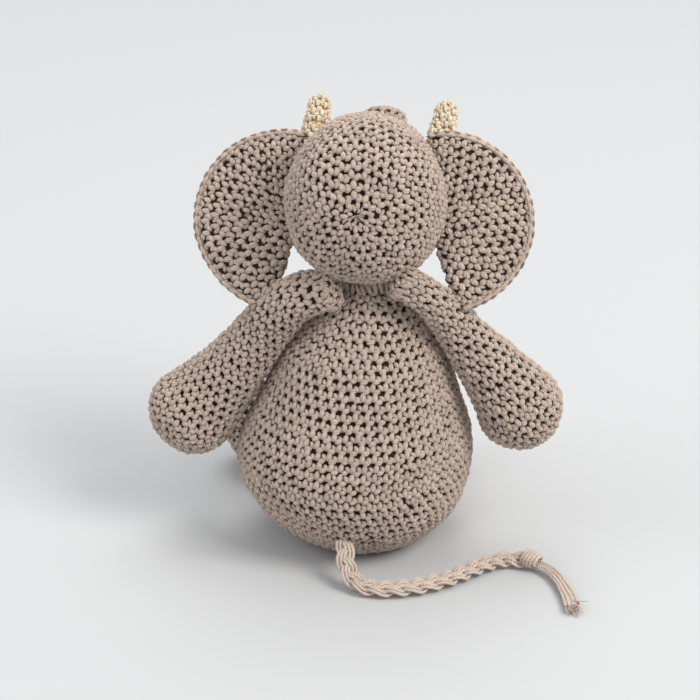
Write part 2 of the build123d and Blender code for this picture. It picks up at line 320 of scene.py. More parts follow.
tuft_line = laid_line(TUFT_ROUTE)
_, tuft_side, tuft_up = line_frames(tuft_line)
tuft_share = np.linspace(0, 1, len(tuft_line))
tuft_rng = np.random.default_rng(7)
tuft_lines = []
for yarn in range(TUFT_YARNS):
    aside = (yarn - (TUFT_YARNS - 1) / 2) * TUFT_YARNS_APART
    end = int(len(tuft_line) * tuft_rng.uniform(0.88, 0.97))
    wander = tuft_rng.uniform(-0.5, 0.5) * np.sin(tuft_share * 5 + yarn) * tuft_share
    off = aside * (0.9 + 0.65 * tuft_share) + wander
    rise = -0.9 * tuft_share + 0.9 * (yarn % 2) * (1 - 0.6 * tuft_share)
    tuft_lines.append((tuft_line + tuft_side * off[:, None] + tuft_up * rise[:, None])[:end:3])
tuft_yarns = cotton_yarns("tail_tuft", tuft_lines, TUFT_YARN_RADIUS, tail_cotton, seed=3)
frayed_lines = []
for strand in tuft_lines:
    way = strand[-1] - strand[-3]
    way /= np.linalg.norm(way)
    for _ in range(FRAYED_ENDS):
        spray = tuft_rng.normal(0, 0.34, 3)
        far = np.linspace(0, tuft_rng.uniform(3.5, 6.5), 6)[:, None]
        frayed = strand[-1] - way + far * way + (far / 5) ** 1.6 * spray * 4 + tuft_rng.normal(0, 0.4, 3)
        frayed[:, 2] = np.maximum(frayed[:, 2], 0.4)
        frayed_lines.append(frayed)
frayed_tips = cotton_yarns("frayed_tips", frayed_lines, FRAYED_RADIUS, tail_cotton, seed=4)
tuft = joined("tail_tuft", [tuft_yarns, frayed_tips])

for piece, node in ((tail, "tail_braid"), (knot, "tail_knot"), (tuft, "tail_fringe")):
    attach(piece, "torso")
    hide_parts(node)


# ---------------------------------------------------------------------------------------------
# Body. A pear-shaped bag of single crochet in taupe cotton, worked in a spiral from a ring of six
# stitches under the seat up to the neck, and stuffed firmly with polyester fibre.
STITCH_WIDTH = 6.0
ROW_HEIGHT = 5.3
ROW_SLIP = 0.27
FIRST_ROW_UP = 0.12
ROW_EDGE = 0.02
COVER_DEPTH = 2.3
STUFFING_DEPTH = 4.4
# Stitches that would sink into the table are pressed up against it, over about this depth
TABLE_PRESS = 1.4
YARN_COLOUR = (0.540, 0.424, 0.348)
# Dark brown painted as shade into the gaps between stitches and over the inner wall
YARN_PAINTED_SHADE = (0.034, 0.014, 0.006)
FIBRE_COLOUR = (0.86, 0.85, 0.82)
LUMP_SIZE = 22
BODY_LUMPS = 0.8
# Height above the table, then the radius there
BODY_OUTLINE = [(1.0, 0), (0.7, 11), (0.7, 23), (4, 34), (10, 42.5), (20, 52.5), (35, 60.6), (50, 62.8),
                (65, 60.6), (78, 55.2), (91, 49.8), (108, 43), (120, 36), (132, 27.5), (141, 21),
                (147, 14), (150, 0)]
BODY_LEAN_FROM = 45
BODY_LEAN = 8.6 / 96
SEAT_SIDEWAYS = 5.8
SEAT_HEIGHT = 58


def through(stations, steps=24):
    """A smooth line through stations of centre and radii, rounded over at both closed ends."""
    rows = np.asarray(stations, float)
    before = rows[1].copy()
    before[3:] *= -1
    after = rows[-2].copy()
    after[3:] *= -1
    rows = np.vstack([before, rows, after])
    t = np.linspace(0, 1, steps, endpoint=False)[:, None]
    spans = []
    for a, b, c, d in zip(rows, rows[1:], rows[2:], rows[3:]):
        spans.append(0.5 * (2 * b + (c - a) * t + (2 * a - 5 * b + 4 * c - d) * t ** 2
                            + (3 * b - a - 3 * c + d) * t ** 3))
    return np.vstack([*spans, rows[-2:-1]])


def stuffed_form(stations, top, rings=96, around=96, square=2.0, square_below=2.0, lump=0.5, seed=0,
                 upright=False):
    """Points [ring, place round it] of a stuffed shape, from its start to its far end.

    Each station is a centre, a half width and a half depth. top points along the half depth. An
    upright form's rings all lie level."""
    line = through(stations)
    centres = line[:, :3]
    rough = np.asarray(stations, float)[:, :3]
    ways = np.empty_like(rough)
    for i in range(len(rough)):
        near, far = max(0, i - 1), min(len(rough) - 1, i + 1)
        while np.linalg.norm(rough[far] - rough[near]) < 2:
            near, far = max(0, near - 1), min(len(rough) - 1, far + 1)
        ways[i] = (rough[far] - rough[near]) / np.linalg.norm(rough[far] - rough[near])
    where = np.linspace(0, len(rough) - 1, len(line))
    ahead = np.stack([np.interp(where, np.arange(len(rough)), ways[:, i]) for i in range(3)], axis=1)
    if upright:
        ahead[:] = (0, 0, 1)
    ahead /= np.linalg.norm(ahead, axis=1, keepdims=True)
    side = np.cross(np.asarray(top, float), ahead)
    side /= np.linalg.norm(side, axis=1, keepdims=True)
    deep = np.cross(ahead, side)
    turn = 2 * math.pi * np.arange(around) / around
    power = np.where(np.sin(turn) < 0, square_below, square)
    reach = (np.abs(np.cos(turn)) ** power + np.abs(np.sin(turn)) ** power) ** (-1 / power)
    across = (reach * np.cos(turn))[None, :, None]
    up = (reach * np.sin(turn))[None, :, None]
    sheet = (centres[:, None, :] + side[:, None, :] * line[:, 3][:, None, None] * across
             + deep[:, None, :] * line[:, 4][:, None, None] * up)
    travel = np.concatenate([[0], np.cumsum(np.linalg.norm(np.diff(sheet, axis=0), axis=2).mean(axis=1))])
    even = np.linspace(0, travel[-1], rings + 1)
    form = np.empty((rings + 1, around, 3))
    for j in range(around):
        for i in range(3):
            form[:, j, i] = np.interp(even, travel, sheet[:, j, i])
    out = outward(form)
    apart = Vector((seed * 7.3, 0, 0))
    swell = np.array([[noise.noise(Vector(p) / LUMP_SIZE + apart) for p in ring] for ring in form])
    return form + out * (lump * swell)[:, :, None]


def outward(form):
    """The outward direction at each point of a form."""
    round_it = np.roll(form, -1, axis=1) - np.roll(form, 1, axis=1)
    along = np.gradient(form, axis=0)
    out = np.cross(round_it, along)
    size = np.linalg.norm(out, axis=2, keepdims=True)
    out = np.where(size > 1e-9, out / np.maximum(size, 1e-9), 0)
    for end, beside in ((0, 1), (-1, -2)):
        mean = out[beside].mean(axis=0)
        out[end] = mean / max(np.linalg.norm(mean), 1e-9)
    return out


def wrapped(form, depth):
    """A closed skin, that far below a form: a flat sheet rolled round it and sewn shut."""
    rings, around = form.shape[0] - 1, form.shape[1]
    under = form - outward(form) * depth
    bm = bmesh.new()
    bmesh.ops.create_grid(bm, x_segments=around, y_segments=rings, size=1)
    for vert in bm.verts:
        j = round((vert.co.x + 1) / 2 * around) % around
        i = round((vert.co.y + 1) / 2 * rings)
        vert.co = Vector(under[i, j]) * MM
    bmesh.ops.remove_doubles(bm, verts=bm.verts, dist=0.02 * MM)
    bmesh.ops.recalc_face_normals(bm, faces=bm.faces)
    mesh = bpy.data.meshes.new("skin")
    bm.to_mesh(mesh)
    bm.free()
    return mesh


# One single-crochet stitch seen from outside, in mm: centre, half length, half width, half
# thickness, turn in degrees, and how much narrower its upper end is.
STITCH_LOOPS = [((0.0, 0.35, -1.30), 2.65, 1.72, 1.85, -6, 0.26),
                ((-2.45, -0.30, -1.60), 2.40, 1.34, 1.62, 46, 0.0),
                ((2.25, -2.10, -1.45), 2.30, 1.72, 1.75, -62, 0.0)]
LOOP_GAP = 20.0
# A hand's unevenness: how far stitches are out of place, in mm, turned, and lighter or darker
STITCH_SHIFT = (0.24, 0.22, 0.18)
STITCH_SWING = 0.10
STITCH_TONES = 0.055


def looped(loops, scale=1.0):
    """The loops of one stitch, as low closed shapes with their length along the yarn."""
    bm = bmesh.new()
    bm.loops.layers.uv.new("ply")
    for centre, long, wide, thick, turn, taper in loops:
        made = bmesh.ops.create_uvsphere(bm, u_segments=8, v_segments=5, radius=1, calc_uvs=True)
        for vert in made["verts"]:
            narrow = 1 - taper * vert.co.z
            vert.co = (vert.co.x * wide * narrow, vert.co.y * thick, vert.co.z * long)
        place = (Matrix.Scale(scale, 4) @ Matrix.Translation(centre)
                 @ Matrix.Rotation(math.radians(turn), 4, "Z") @ Matrix.Rotation(-math.pi / 2, 4, "X"))
        bmesh.ops.transform(bm, matrix=place, verts=made["verts"])
    mesh = bpy.data.meshes.new("stitch")
    bm.to_mesh(mesh)
    bm.free()
    return mesh


def repeated(stitch, count):
    """A long flat chain of that many stitches, one every LOOP_GAP."""
    holder = bpy.data.objects.new("chain", stitch)
    bpy.context.collection.objects.link(holder)
    array = holder.modifiers.new("array", "ARRAY")
    array.count = count
    array.use_relative_offset = False
    array.use_constant_offset = True
    array.constant_offset_displace = (LOOP_GAP, 0, 0)
    chain = bpy.data.meshes.new_from_object(holder.evaluated_get(bpy.context.evaluated_depsgraph_get()))
    bpy.data.objects.remove(holder)
    return chain


def flat_places(chain, seed, untidy):
    """Which stitch each vertex is in, and its place in that stitch, with a hand's unevenness."""
    places = np.empty(len(chain.vertices) * 3, np.float32)
    chain.vertices.foreach_get("co", places)
    places = places.reshape(-1, 3).astype(float)
    which = np.rint(places[:, 0] / LOOP_GAP).astype(int)
    places[:, 0] -= which * LOOP_GAP
    rng = np.random.default_rng(seed)
    shift = rng.normal(0, untidy, (which.max() + 1, 3)) * STITCH_SHIFT
    swing = rng.normal(0, untidy, which.max() + 1) * STITCH_SWING
    tones = 1 + rng.normal(0, STITCH_TONES, which.max() + 1)
    x, y = places[:, 0].copy(), places[:, 1].copy()
    places[:, 0] = x - y * swing[which]
    places[:, 1] = y + x * swing[which]
    return which, places + shift[which], tones[which]


def look_up(grid, ring, place):
    """The value of a form's grid between its points."""
    around = grid.shape[1]
    i = np.clip(np.floor(ring).astype(int), 0, grid.shape[0] - 2)
    f = (ring - i)[:, None]
    j = np.floor(place).astype(int)
    g = (place - j)[:, None]
    a, b = j % around, (j + 1) % around
    return ((grid[i, a] * (1 - g) + grid[i, b] * g) * (1 - f)
            + (grid[i + 1, a] * (1 - g) + grid[i + 1, b] * g) * f)


def crocheted(name, form, material, width=STITCH_WIDTH, height=ROW_HEIGHT, seed=1, skin=COVER_DEPTH):
    """A cover of single crochet on a form: one spiral of stitches, over an inner wall painted dark as shade.
    """
    travel = np.concatenate([[0], np.cumsum(np.linalg.norm(np.diff(form, axis=0), axis=2).mean(axis=1))])
    girth = np.linalg.norm(np.roll(form, -1, axis=1) - form, axis=2).sum(axis=1)
    rows = max(2, round(travel[-1] / height))
    middle = (np.arange(rows) + 0.5) / rows * travel[-1]
    per_row = np.maximum(6, np.rint(np.interp(middle, travel, girth) / width)) + ROW_SLIP
    reached = np.concatenate([[0], np.cumsum(per_row)])
    chain = repeated(looped(STITCH_LOOPS, width / STITCH_WIDTH), int(reached[-1]))
    which, places, tones = flat_places(chain, seed, untidy=1.0)
    worked = which + 0.5 - places[:, 0] / width
    turn = np.interp(worked, reached, np.arange(rows + 1))
    row = np.clip(turn + FIRST_ROW_UP + places[:, 1] / height, ROW_EDGE, rows - ROW_EDGE)
    ring = np.interp(row / rows * travel[-1], travel, np.arange(form.shape[0]))
    place = (-turn * form.shape[1]) % form.shape[1]
    spots = look_up(form, ring, place) + look_up(outward(form), ring, place) * places[:, 2:3]
    height_above = spots[:, 2]
    spots[:, 2] = (height_above + np.sqrt(height_above ** 2 + TABLE_PRESS ** 2)) / 2
    chain.vertices.foreach_set("co", (spots * MM).astype(np.float32).ravel())
    inside = wrapped(form, skin)
    bm = bmesh.new()
    bm.from_mesh(chain)
    bm.from_mesh(inside)
    mesh = bpy.data.meshes.new(name)
    bm.to_mesh(mesh)
    bm.free()
    # Painted shade: loops darken the deeper they lie, and the inner wall is all painted shade colour
    painted_shade_lift = np.clip((places[:, 2] + skin) / skin, 0, 1)
    point_values(mesh, "painted_shade_lift", np.concatenate([painted_shade_lift, np.zeros(len(inside.vertices))]))
    point_values(mesh, "tone", np.concatenate([tones, np.ones(len(inside.vertices))]))
    bpy.data.meshes.remove(chain)
    bpy.data.meshes.remove(inside)
    return new_piece(name, mesh, material)


def fibre_filling(name, form, material, seed=0):
    """The lump of loose fibre inside a cover, uneven where tufts were pushed in."""
    mesh = wrapped(form[::3, ::3], STUFFING_DEPTH)
    for vert in mesh.vertices:
        push = 1 - 0.025 * (1 + noise.noise(vert.co / (9 * MM) + Vector((seed, 0, 0))))
        vert.co = Vector(form.mean(axis=(0, 1)) * MM).lerp(vert.co, push)
    return new_piece(name, mesh, material)


def loose_fibre(name, colour):
    """White polyester fibre, matt, with a tangle of fine strands."""
    material = bpy.data.materials.new(name)
    material.use_nodes = True
    nodes = material.node_tree.nodes
    links = material.node_tree.links
    surface = nodes["Principled BSDF"]
    surface.inputs["Roughness"].default_value = 0.95
    surface.inputs["Sheen Weight"].default_value = 0.3
    place = nodes.new("ShaderNodeTexCoord")
    tangle = nodes.new("ShaderNodeTexNoise")
    tangle.inputs["Scale"].default_value = 260
    tangle.inputs["Detail"].default_value = 6
    tangle.inputs["Distortion"].default_value = 1.6
    links.new(place.outputs["Object"], tangle.inputs["Vector"])
    shades = nodes.new("ShaderNodeValToRGB")
    shades.color_ramp.elements[0].color = (*[c * 0.75 for c in colour], 1)
    shades.color_ramp.elements[1].color = (*colour, 1)
    links.new(tangle.outputs["Fac"], shades.inputs["Fac"])
    links.new(shades.outputs["Color"], surface.inputs["Base Color"])
    bump = nodes.new("ShaderNodeBump")
    bump.inputs["Strength"].default_value = 0.6
    bump.inputs["Distance"].default_value = 0.001
    links.new(tangle.outputs["Fac"], bump.inputs["Height"])
    links.new(bump.outputs["Normal"], surface.inputs["Normal"])
    return material


def body_axis(height):
    """How far the leaning body's middle stands to the side at a height: it slumps sideways on its seat."""
    lean = BODY_LEAN * max(0, height - BODY_LEAN_FROM)
    slump = SEAT_SIDEWAYS * max(0, 1 - height / SEAT_HEIGHT) ** 2
    return -lean - slump


taupe_cotton = cotton("taupe_cotton", YARN_COLOUR, YARN_PAINTED_SHADE)
fibre = loose_fibre("stuffing_fibre", FIBRE_COLOUR)
body_stations = [(body_axis(height), 0, height, radius, radius) for height, radius in BODY_OUTLINE]
body_form = stuffed_form(body_stations, top=(0, -1, 0), rings=128, around=128, lump=BODY_LUMPS,
                         upright=True)
body = crocheted("body_crochet", body_form, taupe_cotton, seed=11)
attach(body, "torso")
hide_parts("body_cover")
body_fibre = fibre_filling("body_fibre", body_form, fibre)
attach(body_fibre, "torso")
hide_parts("body_stuffing")


# ---------------------------------------------------------------------------------------------
# Head. An egg of the same single crochet, started with a ring at the back of the skull and worked
# forward to the face, stuffed hard, and sewn down over the wad of fibre in the neck.
HEAD_START = np.array([-6.0, 44.0, 198.5])
HEAD_AHEAD = np.array([-0.01, -0.993, -0.115])
HEAD_STITCH_WIDTH = 5.7
HEAD_ROW_HEIGHT = 5.2
HEAD_CROWN = 1.86                   # under 2, its top is a little peaked
HEAD_JAW = 2.2                      # over 2, its underside is a little square
HEAD_LUMPS = 0.8
# How far along the head, then its half width and half height there
HEAD_OUTLINE = [(0, 0, 0), (1.2, 12, 12.5), (7, 25.5, 27), (17, 35.5, 37.5), (30, 40.6, 43), (46, 41.5, 44.2),
                (60, 39, 41.5), (74, 34, 35.5), (87, 27, 28), (97, 21, 21), (103, 13, 13), (104, 0, 0)]


def ride_filled(cover, filling, body_name, cover_node, filling_node):
    """A stuffed cover and its filling go with one body of the frame and stand for its two solids."""
    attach(cover, body_name)
    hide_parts(cover_node)
    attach(filling, body_name)
    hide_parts(filling_node)


head_stations = [(*(HEAD_START + HEAD_AHEAD * far), half_width, half_height)
                 for far, half_width, half_height in HEAD_OUTLINE]
head_form = stuffed_form(head_stations, top=(0, 0, 1), square=HEAD_CROWN, square_below=HEAD_JAW,
                         lump=HEAD_LUMPS, seed=2)
head = crocheted("head_crochet", head_form, taupe_cotton, HEAD_STITCH_WIDTH, HEAD_ROW_HEIGHT, seed=12)
head_fibre = fibre_filling("head_fibre", head_form, fibre, seed=2)
ride_filled(head, head_fibre, "head", "head_cover", "head_stuffing")


# ---------------------------------------------------------------------------------------------
# Trunk. The face narrows into a short trunk that curls up; it is worked on round and round from
# the face to a blunt end, lightly stuffed so that it bends.
# Middle of the trunk, half width and half height, from the face out
TRUNK_STATIONS = [(-6.5, -40, 180, 0, 0), (-6.5, -42, 180, 17, 17), (-6.5, -52, 180.5, 20, 20.5),
                  (-6.5, -63, 183, 18.2, 18.5), (-6.4, -74, 188, 16, 16.2), (-6.2, -84, 194.5, 14.4, 14.6),
                  (-6, -92, 203, 13.4, 13.4), (-6, -96, 208, 11.4, 11.4), (-6, -97.5, 210, 6, 6),
                  (-6, -97.5, 210, 0, 0)]
trunk_form = stuffed_form(TRUNK_STATIONS, top=(0, 0, 1), rings=80, around=64, seed=3)
trunk = crocheted("trunk_crochet", trunk_form, taupe_cotton, seed=13)
trunk_fibre = fibre_filling("trunk_fibre", trunk_form, fibre, seed=3)
for piece, node, finish in ((trunk, "trunk_cover", "yarn"), (trunk_fibre, "trunk_stuffing", "fibre")):
    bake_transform(piece)
    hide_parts(node)


# ---------------------------------------------------------------------------------------------
# Ears. Each is a flat disc of crochet folded in half, so that its rows are half circles about the
# middle of the fold. A rope of slip stitches closes the round rim, and the fold is sewn to the head.
EAR_HALF_THICK = 3.4
EAR_WAVE = 1.2
EAR_ROWS_HIGH = 5.1
# Top and bottom of the fold and the outermost point of the rim
EARS = {"left": ((25.6, -12, 221.2), (45.0, 16, 136.8), (83.8, -4, 178.2)),
        "right": ((-36.9, -12, 223.2), (-57.3, 16, 140.1), (-92.0, -4, 181.5))}
ROPE_LEAN = 78
ROPE_STEP = 5.6
EAR_SKIN = 1.7
SEWN_LOOPS = [((0, 0, -1.5), 2.2, 1.15, 1.15, 24, 0.0)]
SEWN_STEP = 4.2
# The sewing stops this many points of the fold short of its top and bottom
SEWN_FROM_TOP = 8
SEWN_FROM_BOTTOM = 46


def folded_ear(top, bottom, outer, rings=64, around=128, bow=2.0, tuck=7.0):
    """A disc folded along a straight edge: its back face, then its front face, round its middle.

    bow is how far it cups, and tuck how far the fold's lower half is drawn in behind the head."""
    top, bottom, outer = (np.asarray(p, float) for p in (top, bottom, outer))
    middle = (top + bottom) / 2
    half_fold = np.linalg.norm(top - bottom) / 2
    up = (top - bottom) / (2 * half_fold)
    out = outer - middle
    out -= up * (out @ up)
    reach = np.linalg.norm(out)
    out /= reach
    back = np.cross(up, out)
    back *= np.sign(back[1])
    first = np.cross(back, out)
    turn = 2 * math.pi * np.arange(around) / around
    form = np.empty((rings + 1, around, 3))
    for i in range(rings + 1):
        far = i / rings
        for j, angle in enumerate(turn):
            along = math.cos(angle) * far * half_fold
            aside = abs(math.sin(angle)) * far * reach
            thin = math.sqrt(max(0, 1 - far ** 8)) * math.tanh(aside / 2.5)
            face = 1 if angle < math.pi else -1
            curl = bow * (far ** 2 - 0.5) + EAR_WAVE * noise.noise(Vector((along, aside, top[0])) / 16)
            height = along * (first @ up) / half_fold
            pulled = tuck * max(0, 1 - ((height + 0.35) / 0.66) ** 2) * (1 - aside / reach) ** 2
            form[i, j] = (middle + first * along + out * (aside - pulled)
                          + back * (face * EAR_HALF_THICK * thin + curl))
    return form, back


def sewn_row(name, line, outs, loops, material, step, seed=1, closed=False, untidy=1.0):
    """Loops of yarn laid end to end along a line, lying against the side that outs points from."""
    line = np.asarray(line, float)
    if closed:
        line = np.vstack([line, line[:1]])
        outs = np.vstack([outs, outs[:1]])
    travel = np.concatenate([[0], np.cumsum(np.linalg.norm(np.diff(line, axis=0), axis=1))])
    count = max(2, round(travel[-1] / step))
    chain = repeated(looped(loops), count)
    which, places, tones = flat_places(chain, seed, untidy)
    gone = (which + 0.5) * travel[-1] / count + places[:, 0]
    gone = gone % travel[-1] if closed else np.clip(gone, 0, travel[-1])
    ahead = np.gradient(line, travel, axis=0)
    spot, way, out = (np.stack([np.interp(gone, travel, rows[:, i]) for i in range(3)], axis=1)
                      for rows in (line, ahead, np.asarray(outs, float)))
    out /= np.linalg.norm(out, axis=1, keepdims=True)
    side = np.cross(out, way)
    side /= np.linalg.norm(side, axis=1, keepdims=True)
    spots = spot + side * places[:, 1:2] + out * places[:, 2:3]
    chain.vertices.foreach_set("co", (spots * MM).astype(np.float32).ravel())
    # Painted shade: each loop turns to the painted dark shade colour the deeper it lies, over 3 mm
    point_values(chain, "painted_shade_lift", np.clip((places[:, 2] + 3.0) / 3.0, 0, 1))
    point_values(chain, "tone", tones)
    bm = bmesh.new()
    bm.from_mesh(chain)
    bmesh.ops.recalc_face_normals(bm, faces=bm.faces)
    bm.to_mesh(chain)
    bm.free()
    return new_piece(name, chain, material)


for side_name, (top, bottom, outer) in EARS.items():
    form, back = folded_ear(top, bottom, outer)
    ear = crocheted(f"ear_{side_name}_crochet", form, taupe_cotton, height=EAR_ROWS_HIGH,
                    seed=14 + len(side_name), skin=EAR_SKIN)
    half = form.shape[1] // 2
    rim = form[-1, :half + 1]
    rim_out = rim - form[-8, :half + 1]
    rims = []
    for face, lean in ((1, -ROPE_LEAN), (-1, ROPE_LEAN)):
        tipped = rim_out / np.linalg.norm(rim_out, axis=1, keepdims=True) + face * back * 0.9
        row = rim + tipped * 0.9
        rope = [((-0.5, 0, -0.8), 4.3, 1.75, 1.6, lean, 0.22)]
        rims.append(sewn_row(f"rim_{face}", row, tipped, rope, taupe_cotton, ROPE_STEP, seed=21, untidy=0.4))
    edging = joined(f"ear_{side_name}_rope_edging", rims)
    fold = np.vstack([form[::-1, 0], form[1:, half]])
    if fold[0, 2] > fold[-1, 2]:
        fold = fold[SEWN_FROM_TOP:-SEWN_FROM_BOTTOM]
    else:
        fold = fold[SEWN_FROM_BOTTOM:-SEWN_FROM_TOP]
    sewn_out = np.tile(0.8 * back - 0.7 * (form[-1, half // 2] - form[0, 0]) / 46, (len(fold), 1))
    sewing = sewn_row(f"ear_{side_name}_sewing", fold, sewn_out, SEWN_LOOPS, taupe_cotton, SEWN_STEP, seed=31)
    for piece, node, finish in ((ear, "ear", "yarn"), (edging, "ear_edging", "yarn"),
                                (sewing, "ear_seam", "sewing_yarn")):
        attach(piece, f"ear_{side_name}")
        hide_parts(f"{node}_{side_name}")


# ---------------------------------------------------------------------------------------------
# Tusks. Two little cones in cream cotton, a few stitches round, started at the tip, stuffed with
# a pinch of fibre and sewn to the face so that they stand up beside the trunk.
TUSK_WIDTH = 5.4
TUSK_ROW = 4.6
# Middle of each tusk from its root to its tip, and its radii there
TUSKS = {"left": ((24.6, -36, 182), (25.2, -42, 197), (26.2, -50.5, 211), (25.2, -60, 222.8)),
         "right": ((-38.4, -36, 182), (-39.4, -42, 197), (-41.2, -50.5, 211), (-42.8, -60, 221.5))}
TUSK_RADII = (8.6, 8.3, 7.6, 6.4)
TUSK_SKIN = 1.9
TUSK_LUMPS = 0.3
CREAM_COLOUR = (0.80, 0.68, 0.50)
# Orange-brown painted as shade into the gaps between the tusks' stitches
CREAM_PAINTED_SHADE = (0.66, 0.43, 0.20)


def rounded_end(centre, neighbour, radius, flat=1.0):
    """Stations of the rounded end of a stuffed limb, from its pole towards its full width."""
    centre = np.asarray(centre, float)
    way = centre - np.asarray(neighbour, float)
    way /= np.linalg.norm(way)
    ends = []
    for angle in (90, 68, 45, 22):
        a = math.radians(angle)
        wide = radius * math.cos(a) if angle < 90 else 0
        ends.append((*(centre + way * flat * radius * math.sin(a)), wide, wide))
    return ends


cream_cotton = cotton("cream_cotton", CREAM_COLOUR, CREAM_PAINTED_SHADE)
for side_name, places in TUSKS.items():
    full = [(*place, radius, radius) for place, radius in zip(places, TUSK_RADII)]
    stations = (rounded_end(places[-1], places[-2], TUSK_RADII[-1]) + full[::-1]
                + rounded_end(places[0], places[1], TUSK_RADII[0], flat=0.5)[::-1])
    form = stuffed_form(stations, top=(0, -1, 0), rings=48, around=48, lump=TUSK_LUMPS, seed=5)
    tusk = crocheted(f"tusk_{side_name}_crochet", form, cream_cotton, TUSK_WIDTH, TUSK_ROW, seed=16,
                     skin=TUSK_SKIN)
    tusk_fibre = fibre_filling(f"tusk_{side_name}_fibre", form, fibre, seed=6)
    ride_filled(tusk, tusk_fibre, "head", f"tusk_{side_name}_cover", f"tusk_{side_name}_stuffing")


# ---------------------------------------------------------------------------------------------
# Eyes. Black plastic safety eyes: a polished dome on a plain stem is pushed through the face and
# held by a washer pressed on from inside, before the head is stuffed.
EYE_BLACK = (0.004, 0.004, 0.005)
WASHER_WHITE = (0.72, 0.71, 0.68)


def plastic(name, colour, roughness, coat):
    """Moulded plastic, faintly uneven as it comes from the tool."""
    material = bpy.data.materials.new(name)
    material.use_nodes = True
    nodes = material.node_tree.nodes
    links = material.node_tree.links
    surface = nodes["Principled BSDF"]
    surface.inputs["Base Color"].default_value = (*colour, 1)
    surface.inputs["Coat Weight"].default_value = coat
    surface.inputs["Coat Roughness"].default_value = 0.04
    place = nodes.new("ShaderNodeTexCoord")
    ripple = nodes.new("ShaderNodeTexNoise")
    ripple.inputs["Scale"].default_value = 420
    links.new(place.outputs["Object"], ripple.inputs["Vector"])
    spread = nodes.new("ShaderNodeMapRange")
    spread.inputs["To Min"].default_value = roughness * 0.8
    spread.inputs["To Max"].default_value = roughness * 1.25
    links.new(ripple.outputs["Fac"], spread.inputs["Value"])
    links.new(spread.outputs["Result"], surface.inputs["Roughness"])
    return material


eye_black = plastic("polished_black_plastic", EYE_BLACK, 0.12, 0.6)
washer_white = plastic("white_washer_plastic", WASHER_WHITE, 0.45, 0.0)
# How deep each dome is bedded into the stitches, and the way the left one faces
EYE_BEDDED = 1.9
EYE_OUT = np.array([0.38, -0.73, 0.54])
for side_name, mirror in (("left", 1), ("right", -1)):
    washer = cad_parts[f"eye_washer_{side_name}"]
    washer.data.materials.clear()
    washer.data.materials.append(washer_white)
    bm = bmesh.new()
    bm.from_mesh(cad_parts[f"eye_{side_name}"].data)
    bmesh.ops.remove_doubles(bm, verts=bm.verts, dist=0.01 * MM)
    inward = -EYE_OUT * (mirror, 1, 1) / np.linalg.norm(EYE_OUT) * EYE_BEDDED
    bmesh.ops.translate(bm, vec=Vector(inward) * MM, verts=bm.verts)
    mesh = bpy.data.meshes.new("eye")
    bm.to_mesh(mesh)
    bm.free()
    eye = new_piece(f"eye_{side_name}_dome", mesh, eye_black)
    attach(eye, "head")
    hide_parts(f"eye_{side_name}")


# ---------------------------------------------------------------------------------------------
# Neck. The head is whipped to the open top of the body with the same yarn, over a wad of fibre.
# The stitches pull the edge in, so that the head sits straight on the shoulders.
NECK_MIDDLE = np.array([-8.8, 1, 147.5])
NECK_SEWN_RADIUS = 15.5
NECK_LOOPS = [((0, 0, -1.0), 4.6, 1.25, 1.25, 14, 0.0)]
NECK_STEP = 3.4
NECK_POINTS = 72
WAD_PAST_NECK = 4                   # how far the wad goes into the body and into the head
neck_turn = np.linspace(0, 2 * math.pi, NECK_POINTS, endpoint=False)
neck_ring = NECK_MIDDLE + NECK_SEWN_RADIUS * np.stack(
    [np.cos(neck_turn), np.sin(neck_turn), 0.06 * np.cos(3 * neck_turn)], axis=1)
neck_outs = np.stack([np.cos(neck_turn), np.sin(neck_turn), np.zeros(NECK_POINTS)], axis=1)
neck_sewing = sewn_row("neck_sewing", neck_ring, neck_outs, NECK_LOOPS, taupe_cotton, NECK_STEP, seed=41,
                       closed=True)
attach(neck_sewing, "neck")
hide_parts("neck_seam")
neck_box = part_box("neck_stuffing")
neck_low, neck_high = np.array(neck_box[0]) / MM, np.array(neck_box[1]) / MM
neck_mid, neck_half = (neck_low + neck_high) / 2, (neck_high - neck_low) / 2
wad_bottom = (neck_mid[0], neck_mid[1], neck_low[2] - WAD_PAST_NECK)
wad_top = (neck_mid[0], neck_mid[1], neck_high[2] + WAD_PAST_NECK)
wad_radii = (neck_half[0] - 1, neck_half[1] - 1)
neck_form = stuffed_form([(*wad_bottom, 0, 0), (*wad_bottom, *wad_radii), (*wad_top, *wad_radii),
                          (*wad_top, 0, 0)], top=(0, -1, 0), rings=30, around=48)
neck_wad = new_piece("neck_fibre", wrapped(neck_form, 0.5), fibre)
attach(neck_wad, "neck")
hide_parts("neck_stuffing")


# ---------------------------------------------------------------------------------------------
# Arms. Long clubs of crochet, started at the round hand and worked up to a narrow open end that is
# pressed flat and sewn on behind the shoulder, under the head. They are filled less towards the top.
# Middle of the limb, half width and half depth, from the hand up
ARMS = {"left": [(86.4, 3, 70.0, 24.2, 24.2), (75.8, 3.5, 81.6, 20.8, 21.2),
                 (64.0, 4.5, 96.0, 17.8, 17.8),
                 (50.2, 8.5, 115.2, 15.2, 14.8), (38, 14.5, 132, 13.6, 12.6), (26, 20, 144.5, 12.4, 10.5),
                 (9, 24.5, 151.5, 11, 6.5)],
        "right": [(-88.2, 3, 80.6, 23.2, 23.2), (-80.2, 3.5, 92.0, 19.8, 20.2),
                  (-69.8, 4.5, 106.2, 16.2, 16.4),
                  (-58.4, 7, 121, 12.8, 12.8), (-50.4, 11, 133, 11, 10.8), (-41.5, 19, 146, 9.8, 9),
                  (-27, 24, 157, 9.4, 6.5)]}
SHOULDER_BEND = {"left": ((27, 16, 139), (46, 8, 118)), "right": ((-38, 16, 148), (-57, 6, 125))}
WHIP_LOOPS = [((0, 0, -0.9), 3.8, 1.2, 1.2, 20, 0.0)]
ARM_STEP = 4.0
ARM_LUMPS = 0.9
ARM_RINGS = 128
ARM_SEWN_RING = 118                 # the ring of its form that the whipping goes round
